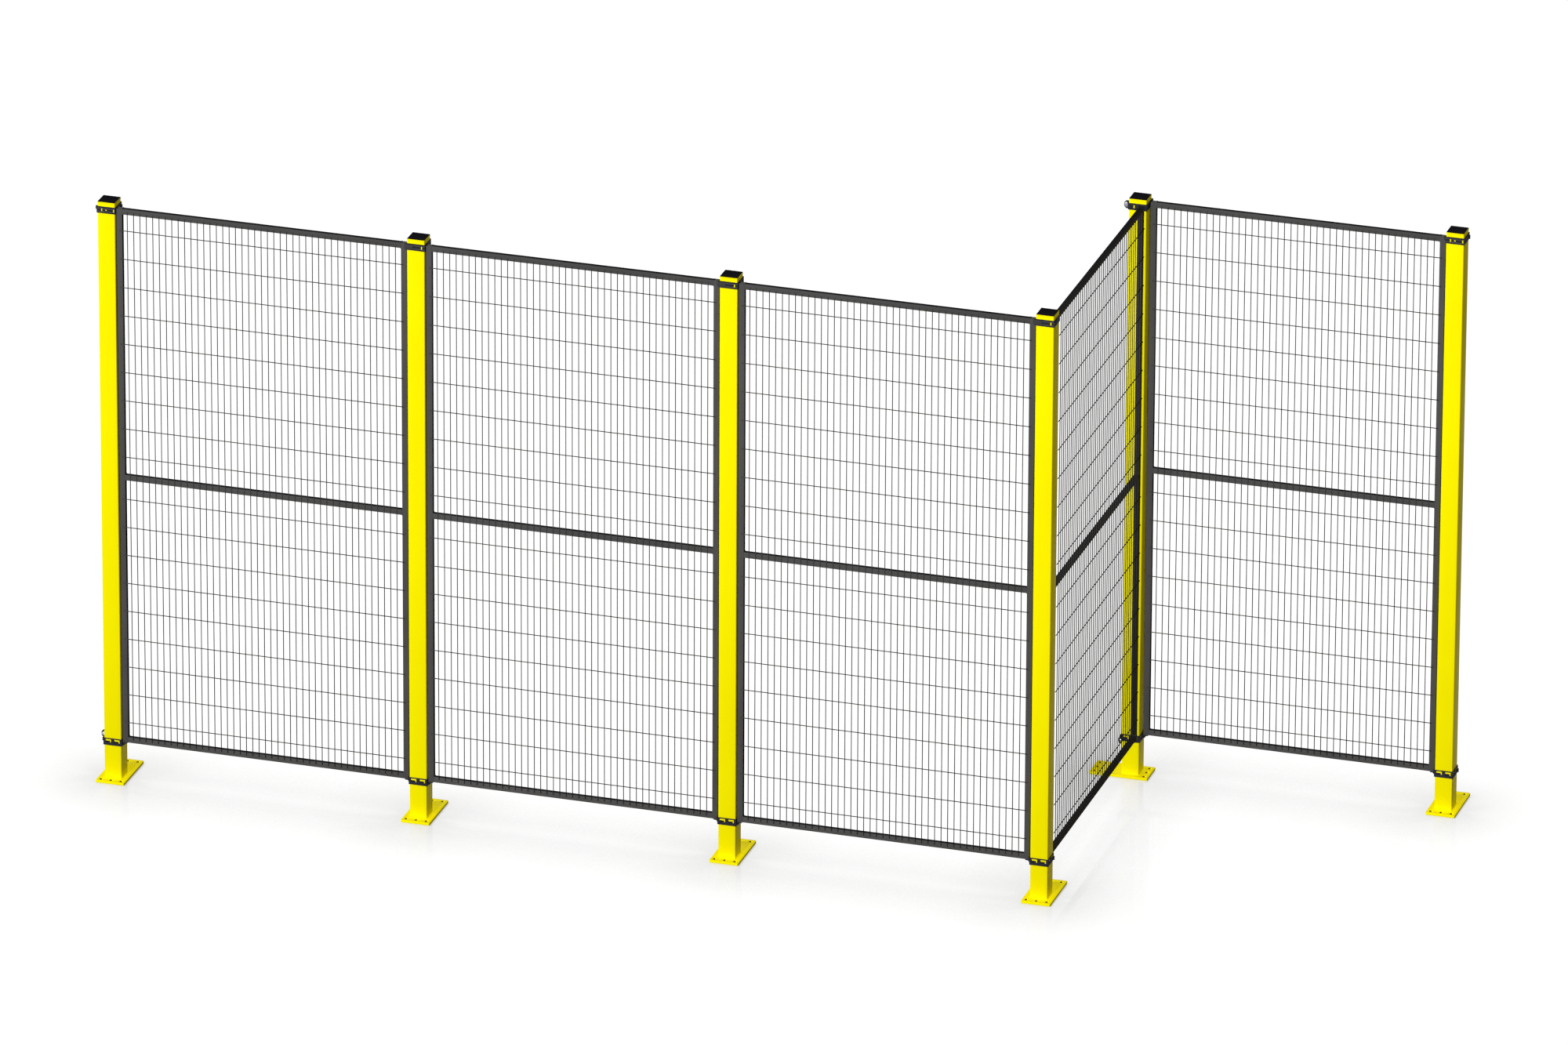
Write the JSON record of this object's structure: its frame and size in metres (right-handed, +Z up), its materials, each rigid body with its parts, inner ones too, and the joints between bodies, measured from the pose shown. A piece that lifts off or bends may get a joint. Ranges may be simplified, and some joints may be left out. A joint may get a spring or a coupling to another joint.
{
  "type": "wire mesh partition",
  "caption": "Free-standing wire mesh safety partition: square posts on base plates carry framed mesh panels in a run that turns two corners; each panel lifts off its seats.",
  "frame": {"origin": "on the floor, in the middle of the partition's bounding box", "axes": "+X along the run of panels, left to right seen from the front; +Y from the front towards the rear; +Z up"},
  "size_m": [4.374, 1.298, 2.0583],
  "materials": {
    "yellow_paint": "satin safety yellow powder coat",
    "black_paint": "satin graphite black powder coat",
    "wire_paint": "satin graphite powder coat on wire",
    "clamp_paint": "fine-textured black powder coat",
    "cap_plastic": "matt black moulded lid",
    "zinc": "bright zinc plate"
  },
  "bodies": {
    "posts": {"base_plate_1": "yellow_paint", "base_plate_2": "yellow_paint", "base_plate_3": "yellow_paint", "base_plate_4": "yellow_paint", "base_plate_5": "yellow_paint", "base_plate_6": "yellow_paint", "post_1": "yellow_paint", "post_2": "yellow_paint", "post_3": "yellow_paint", "post_4": "yellow_paint", "post_5": "yellow_paint", "post_6": "yellow_paint", "post_cap_1": "cap_plastic", "post_cap_2": "cap_plastic", "post_cap_3": "cap_plastic", "post_cap_4": "cap_plastic", "post_cap_5": "cap_plastic", "post_cap_6": "cap_plastic", "top_clamp_1": "clamp_paint", "top_clamp_2": "clamp_paint", "top_clamp_3": "clamp_paint", "top_clamp_4": "clamp_paint", "top_clamp_5": "clamp_paint", "top_clamp_6": "clamp_paint", "bottom_clamp_1": "clamp_paint", "bottom_clamp_2": "clamp_paint", "bottom_clamp_3": "clamp_paint", "bottom_clamp_4": "clamp_paint", "bottom_clamp_5": "clamp_paint", "bottom_clamp_6": "clamp_paint", "top_clamp_bolt_1": "zinc", "top_clamp_bolt_2": "zinc", "top_clamp_bolt_3": "zinc", "top_clamp_bolt_4": "zinc", "top_clamp_bolt_5": "zinc", "top_clamp_bolt_6": "zinc", "bottom_clamp_bolt_1": "zinc", "bottom_clamp_bolt_2": "zinc", "bottom_clamp_bolt_3": "zinc", "bottom_clamp_bolt_4": "zinc", "bottom_clamp_bolt_5": "zinc", "bottom_clamp_bolt_6": "zinc"},
    "panel_a": {"panel_a_frame": "black_paint", "panel_a_mid_rail": "black_paint", "panel_a_mesh": "wire_paint"},
    "panel_b": {"panel_b_frame": "black_paint", "panel_b_mid_rail": "black_paint", "panel_b_mesh": "wire_paint"},
    "panel_c": {"panel_c_frame": "black_paint", "panel_c_mid_rail": "black_paint", "panel_c_mesh": "wire_paint"},
    "panel_d": {"panel_d_frame": "black_paint", "panel_d_mid_rail": "black_paint", "panel_d_mesh": "wire_paint"},
    "panel_e": {"panel_e_frame": "black_paint", "panel_e_mid_rail": "black_paint", "panel_e_mesh": "wire_paint"}
  },
  "joints": [
    {"name": "panel_a_lift", "type": "slide", "parent": "posts", "child": "panel_a", "axis": [0, 0, 1], "range_m": [0, 0.03]},
    {"name": "panel_b_lift", "type": "slide", "parent": "posts", "child": "panel_b", "axis": [0, 0, 1], "range_m": [0, 0.03]},
    {"name": "panel_c_lift", "type": "slide", "parent": "posts", "child": "panel_c", "axis": [0, 0, 1], "range_m": [0, 0.03]},
    {"name": "panel_d_lift", "type": "slide", "parent": "posts", "child": "panel_d", "axis": [0, 0, 1], "range_m": [0, 0.03]},
    {"name": "panel_e_lift", "type": "slide", "parent": "posts", "child": "panel_e", "axis": [0, 0, 1], "range_m": [0, 0.03]}
  ]
}
